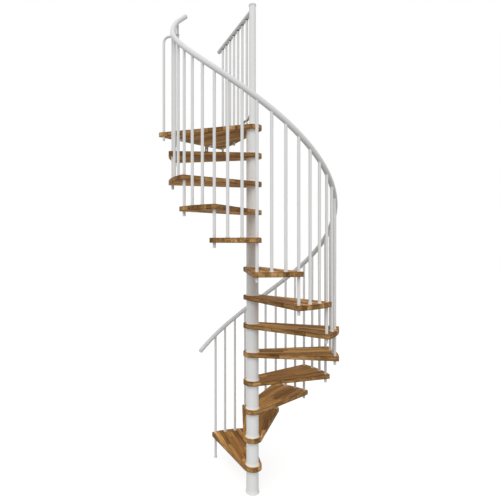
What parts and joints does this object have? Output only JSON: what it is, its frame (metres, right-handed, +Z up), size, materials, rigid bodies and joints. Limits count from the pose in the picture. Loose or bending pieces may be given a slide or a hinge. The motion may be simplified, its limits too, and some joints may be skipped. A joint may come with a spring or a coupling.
{
  "type": "spiral staircase",
  "caption": "Spiral staircase with wedge-shaped oak treads on a central pole, a landing, white tubular balusters and a helical handrail",
  "frame": {"origin": "centre of the base flange's underside, on the floor, on the pole's axis", "axes": "+Z up along the pole, +Y away from the viewer of the picture, +X to the viewer's right"},
  "size_m": [1.4897, 1.4317, 4.0649],
  "materials": {
    "white_metal": "satin",
    "oak": "oiled",
    "white_plastic": "matte",
    "steel": "brushed"
  },
  "bodies": {
    "root": {"base_flange": "white_metal", "center_pole": "white_metal", "pole_cap": "white_plastic", "sleeve_01": "white_metal", "sleeve_02": "white_metal", "sleeve_03": "white_metal", "sleeve_04": "white_metal", "sleeve_05": "white_metal", "sleeve_06": "white_metal", "sleeve_07": "white_metal", "sleeve_08": "white_metal", "sleeve_09": "white_metal", "sleeve_10": "white_metal", "sleeve_11": "white_metal", "sleeve_12": "white_metal", "sleeve_13": "white_metal", "tread_01": "oak", "tread_02": "oak", "tread_03": "oak", "tread_04": "oak", "tread_05": "oak", "tread_06": "oak", "tread_07": "oak", "tread_08": "oak", "tread_09": "oak", "tread_10": "oak", "tread_11": "oak", "tread_12": "oak", "landing": "oak", "landing_collar": "white_plastic", "landing_brackets": "steel", "handrail": "white_metal", "landing_rail": "white_metal", "rail_end_caps": "white_plastic", "start_baluster": "white_metal", "corner_balusters": "white_metal", "tread_balusters": "white_metal", "landing_balusters": "white_metal", "bent_baluster": "white_metal", "baluster_feet": "white_plastic", "baluster_end_caps": "white_plastic"}
  },
  "joints": []
}
